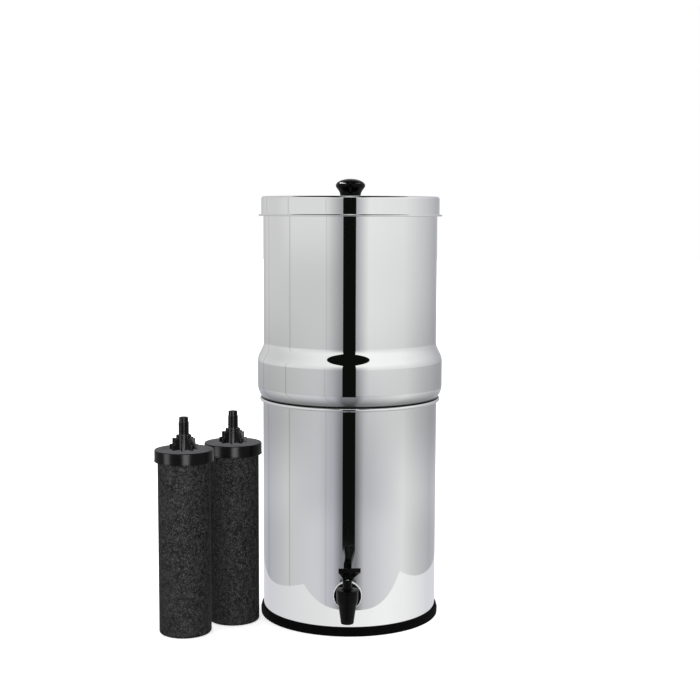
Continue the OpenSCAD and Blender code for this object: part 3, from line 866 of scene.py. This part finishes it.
lower_chamber()
upper_chamber()
lid()
KNOB = lid_knob()
foot_ring()
tap_body()
tap_bonnet()
tap_lever()
closing_spring()
ELEMENTS = [
    element_block("left_block", "left_element_block", "left_element", LEFT_PLACE),
    element_cap("left_cap", "left_element_cap", "left_element", LEFT_PLACE),
    element_block("right_block", "right_element_block", "right_element", RIGHT_PLACE),
    element_cap("right_cap", "right_element_cap", "right_element", RIGHT_PLACE),
]

# The finishes of the solids that stay as they are
CAD_FINISHES = {
    "blocking_plugs": SATIN_BLACK,
    "plug_washers": SOFT_RUBBER,
    "plug_wing_nuts": SATIN_BLACK,
    "knob_screw": FIXINGS,
    "knob_washer": FIXINGS,
    "tap_outer_washer": SILICONE,
    "tap_inner_washer": SOFT_RUBBER,
    "tap_nut": TAP_BLACK,
    "valve_stem": WHITE_PLASTIC,
    "seat_cup": SILICONE,
    "lever_pin": FIXINGS,
}
for node_name, finish in CAD_FINISHES.items():
    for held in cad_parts[node_name].material_slots:
        held.material = finish


# ---------------------------------------------------------------- studio


def studio_tones(stops):
    """Colour stops round the studio wall, from (bearing in degrees, level, blue tint)."""
    return [((b + 180) / 360, (level, level * 1.005, level * (1 + blue), 1.0)) for b, level, blue in stops]


# The studio's paper wall, level with the eye and low down: bearing, level and blue tint
WALL_TONES = [
    (-180, 0.45, 0.1), (-140, 0.65, 0.0), (-30, 0.65, 0.0), (-10, 0.35, 0.05), (10, 0.45, 0.05),
    (25, 0.85, 0.0), (75, 0.8, 0.0), (145, 0.45, 0.05), (180, 0.45, 0.1),
]
LOW_WALL_TONES = [
    (-180, 0.6, 0.1), (-135, 0.5, 0.1), (-90, 0.65, 0.0), (-40, 0.6, 0.05), (-20, 0.45, 0.1),
    (-10, 0.2, 0.1), (10, 0.2, 0.05), (20, 0.5, 0.05), (75, 0.8, 0.0), (135, 0.5, 0.05), (180, 0.6, 0.1),
]
# What the rounded shapes see above the paper wall
SKY_TONES = [
    (-180, 0.6, 0.05), (-110, 0.65, 0.0), (-50, 0.9, 0.0), (30, 1.05, 0.0), (75, 1.0, 0.0),
    (140, 0.65, 0.05), (180, 0.6, 0.05),
]
# A low white card round the vessel, seen by the steel alone, with its top edge cut in scallops:
# each scallop's start, its lowest place and its end, as an angle from the front and a height in
# millimetres, and how square its curve is
SCALLOPS = [
    ((-130, 60), (-80, 34), (-38, 47), 1.8),
    ((-38, 47), (5, 20), (45, 62), 3.0),
    ((45, 62), (85, 47), (130, 60), 2.5),
]
CARD_TONES = [
    (-180, 0.7, 0.1), (-85, 0.7, 0.05), (-25, 0.85, 0.0), (30, 1.0, 0.0), (50, 0.95, 0.0),
    (85, 0.75, 0.05), (130, 0.7, 0.1), (180, 0.7, 0.1),
]
# Joints of the studio's paper: bearing, half width and depth of shade
SEAMS = [(-135, 2, 0.25), (-85, 1.5, 0.3), (-30, 1.5, 0.15), (150, 2, 0.1)]
BLACK = (0.004, 0.005, 0.004, 1.0)


def shade_by_place(recipe, bearing, height):
    """How light the paper wall is: lighter above the eye; dimmer half way down, most of all at the
    sides; near the ground lighter in front and dimmer at the sides; streaked and shaded at joints."""
    side = abs(bearing).ease(35.0, 110.0)
    left = bearing.ease(-115.0, -75.0) * (1.0 - bearing.ease(-35.0, 15.0))
    light = 1.0 + height.ease(-3.4, 0.0) * (0.05 + left * 0.16)
    half_way = height.ease(-12.2, -8.8) * (1.0 - height.ease(-8.4, -2.6))
    light = light * (1.0 - half_way * (0.05 + side * 0.2))
    light = light * (1.0 + (1.0 - height.ease(-14.0, -12.2)) * (0.12 - side * 0.2))
    light = light * (0.97 + recipe.noise(recipe.join(bearing, 0.0, 0.0), 0.3, 4.0, 0.7) * 0.06)
    for seam, half, depth in SEAMS:
        light = light * (1.0 - (1.0 - abs(bearing - seam).ease(0.0, half)) * depth)
    return light


def studio_world():
    """The studio that the steel mirrors. Bearings and heights are in degrees, as seen from the vessel,
    with the camera at bearing 0."""
    world = bpy.data.worlds.new("studio")
    bpy.context.scene.world = world
    world.use_nodes = True
    recipe = Recipe(world.node_tree)
    x, y, z = recipe.split(recipe.node("ShaderNodeTexCoord", output="Generated"))
    bearing = x.math("ARCTAN2", -y) * math.degrees(1)
    height = z.math("ARCSINE") * math.degrees(1)
    round_share = (bearing + 180.0) / 360.0

    def ramp(stops):
        return recipe.node("ShaderNodeValToRGB", {"stops": studio_tones(stops)}, {0: round_share})

    wall = recipe.blend(height.ease(-12.0, -4.0), ramp(LOW_WALL_TONES), ramp(WALL_TONES))
    wall = recipe.scaled(wall, shade_by_place(recipe, bearing, height))
    wall = recipe.blend(height.ease(0.5, 32.0), wall, ramp(SKY_TONES))
    # a tall black flag beside the camera, which the steel shows as its dark stripe
    flag = height.ease(-14.7, -14.6) * (1.0 - abs(bearing - 0.1).ease(8.0, 8.6))
    # a dark umbrella over the camera, pointed at both ends
    umbrella = (height - abs(bearing + 2.0) * 0.63).ease(24.2, 25.0)
    umbrella = umbrella * (1.0 - abs(bearing).ease(36.0, 38.0))
    seen = recipe.blend(flag, wall, BLACK)
    seen = recipe.blend(umbrella, seen, BLACK)
    # the dark ceiling, with an opening over the camera
    seen = recipe.blend(height.ease(48.0, 49.5), seen, (0.015, 0.016, 0.015, 1.0))
    opening = height.ease(52.0, 55.0) * (1.0 - abs(bearing).ease(18.0, 22.0))
    seen = recipe.blend(opening, seen, (0.95, 0.95, 0.96, 1.0))
    # dimmer towards the ground
    seen = recipe.scaled(seen, 0.5 + height.ease(-85.0, -18.0) * 0.5)
    # white to the camera, and an even soft light on what isn't a mirror
    sight = recipe.node("ShaderNodeLightPath", output="Is Camera Ray")
    soft = recipe.node("ShaderNodeLightPath", output="Is Diffuse Ray")
    seen = recipe.blend(soft, seen, grey(1.25))
    seen = recipe.blend(sight, seen, grey(1.0))
    shader = recipe.node("ShaderNodeBackground", None, {"Color": seen, "Strength": 1.0})
    recipe.node("ShaderNodeOutputWorld", None, {"Surface": shader})


def softbox(name, bearing, rise, away, wide, tall, power, soften, aim, lit, lean=0):
    """A soft light on the pieces in lit alone, with no shadows. Angles are in degrees, lengths in
    metres and aim in millimetres; soften is the share of the light that matt surfaces take."""
    data = bpy.data.lights.new(name, "AREA")
    data.shape = "RECTANGLE"
    data.size = wide
    data.size_y = tall
    data.energy = power
    data.diffuse_factor = soften
    made = bpy.data.objects.new(name, data)
    a, e = math.radians(bearing), math.radians(rise)
    way = Vector((math.sin(a) * math.cos(e), -math.cos(a) * math.cos(e), math.sin(e)))
    made.location = Vector(aim) * MM + way * away
    turn = way.to_track_quat("Z", "Y").to_matrix() @ Matrix.Rotation(math.radians(lean), 3, "Z")
    made.rotation_euler = turn.to_euler()
    bpy.context.scene.collection.objects.link(made)
    group = bpy.data.collections.new(name + "_pieces")
    for thing in lit:
        group.objects.link(thing)
    made.light_linking.receiver_collection = group
    made.light_linking.blocker_collection = bpy.data.collections.new(name + "_blockers")


def softboxes():
    between = ((LEFT_PLACE[0] + RIGHT_PLACE[0]) / 2, (LEFT_PLACE[1] + RIGHT_PLACE[1]) / 2, 130)
    softbox("left_strip", -61, 4, 1.5, 0.6, 1.6, 33, 0.04, between, ELEMENTS)
    softbox("front_strip", 14, 4, 1.5, 0.6, 1.6, 54, 0.22, between, ELEMENTS)
    softbox("rim_strip", 137, 4, 1.5, 0.25, 1.6, 13, 0.25, between, ELEMENTS)
    top = (0, 0, LID_Z + 14)
    softbox("knob_light", -100, 54, 0.8, 0.7, 0.11, 30, 0.1, top, [KNOB], 27)
    softbox("knob_fill", 98, 54, 0.8, 0.5, 0.11, 2, 0.1, top, [KNOB], -27)


def card_top(angle):
    """The height of the card's top edge at an angle from the front."""
    for first, lowest, last, square in SCALLOPS:
        if first[0] <= angle <= last[0]:
            point = first if angle < lowest[0] else last
            share = abs((angle - lowest[0]) / (point[0] - lowest[0])) ** square
            return lowest[1] + (point[1] - lowest[1]) * share
    return SCALLOPS[0][0][1]


def card_paint(recipe):
    place = recipe.place()
    x, y = recipe.split(place)[:2]
    share = x.math("ARCTAN2", -y) / (2 * math.pi) + 0.5
    tone = recipe.node("ShaderNodeValToRGB", {"stops": studio_tones(CARD_TONES)}, {0: share})
    cloud = recipe.noise(place, 9.0)
    recipe.finish(**{
        "Base Color": grey(0.0),
        "Roughness": 0.9,
        "Specular IOR Level": 0.0,
        "Emission Color": recipe.scaled(tone, 0.98 + cloud * 0.04),
        "Emission Strength": 1.0,
    })


def card_ring():
    """The low card: a ring round the vessel whose top edge is cut in scallops. It reaches below the
    floor, which mirrors don't show."""
    ring_r, foot_z = 143.0, -14.0
    mesh = bmesh.new()
    ends = [mesh.verts.new((0.0, -ring_r * MM, z * MM)) for z in (foot_z, 1.0)]
    edge = mesh.edges.new(ends)
    bmesh.ops.spin(
        mesh,
        geom=ends + [edge],
        cent=(0.0, 0.0, 0.0),
        axis=(0.0, 0.0, 1.0),
        angle=2 * math.pi,
        steps=360,
        use_merge=True,
    )
    for vert in mesh.verts:
        if vert.co.z > 0:
            vert.co.z = card_top(math.degrees(math.atan2(vert.co.x, -vert.co.y))) * MM
    card = stage_piece("card_ring", mesh, card_paint)
    card.visible_camera = False
    card.visible_diffuse = False
    card.visible_transmission = False
    card.visible_shadow = False


def floor_paint(recipe):
    cloud = recipe.noise(recipe.place(), 3.0)
    recipe.finish(**{
        "Base Color": recipe.blend(cloud, grey(0.93), grey(0.95)),
        "Roughness": 0.9,
        "Specular IOR Level": 0.1,
        "Emission Color": grey(1.0),
        "Emission Strength": 0.5,
    })


def pale_floor():
    mesh = bmesh.new()
    bmesh.ops.create_circle(mesh, cap_ends=True, segments=96, radius=12.0)
    stage_piece("pale_floor", mesh, floor_paint).visible_glossy = False


def camera():
    """The camera at the photograph's place: slightly round to the side, looking a little down."""
    orbit, down, roll = math.radians(0.9), 0.105, math.radians(0.2)
    aside, away, eye_z = 0.0001, -1.621, 0.499
    data = bpy.data.cameras.new("camera")
    data.sensor_width = 36.0
    data.lens = 67.915
    data.clip_start = 0.01
    data.clip_end = 60.0
    made = bpy.data.objects.new("camera", data)
    made.location = (
        aside * math.cos(orbit) - away * math.sin(orbit),
        aside * math.sin(orbit) + away * math.cos(orbit),
        eye_z,
    )
    turn = Matrix.Rotation(orbit, 3, "Z") @ Matrix.Rotation(math.pi / 2 - down, 3, "X")
    made.rotation_euler = (turn @ Matrix.Rotation(roll, 3, "Z")).to_euler()
    bpy.context.scene.collection.objects.link(made)
    bpy.context.scene.camera = made


# the steel mirrors the studio and not the elements beside it
for thing in ELEMENTS:
    thing.visible_glossy = False
studio_world()
softboxes()
pale_floor()
card_ring()
camera()
bpy.context.scene.view_settings.view_transform = "Standard"
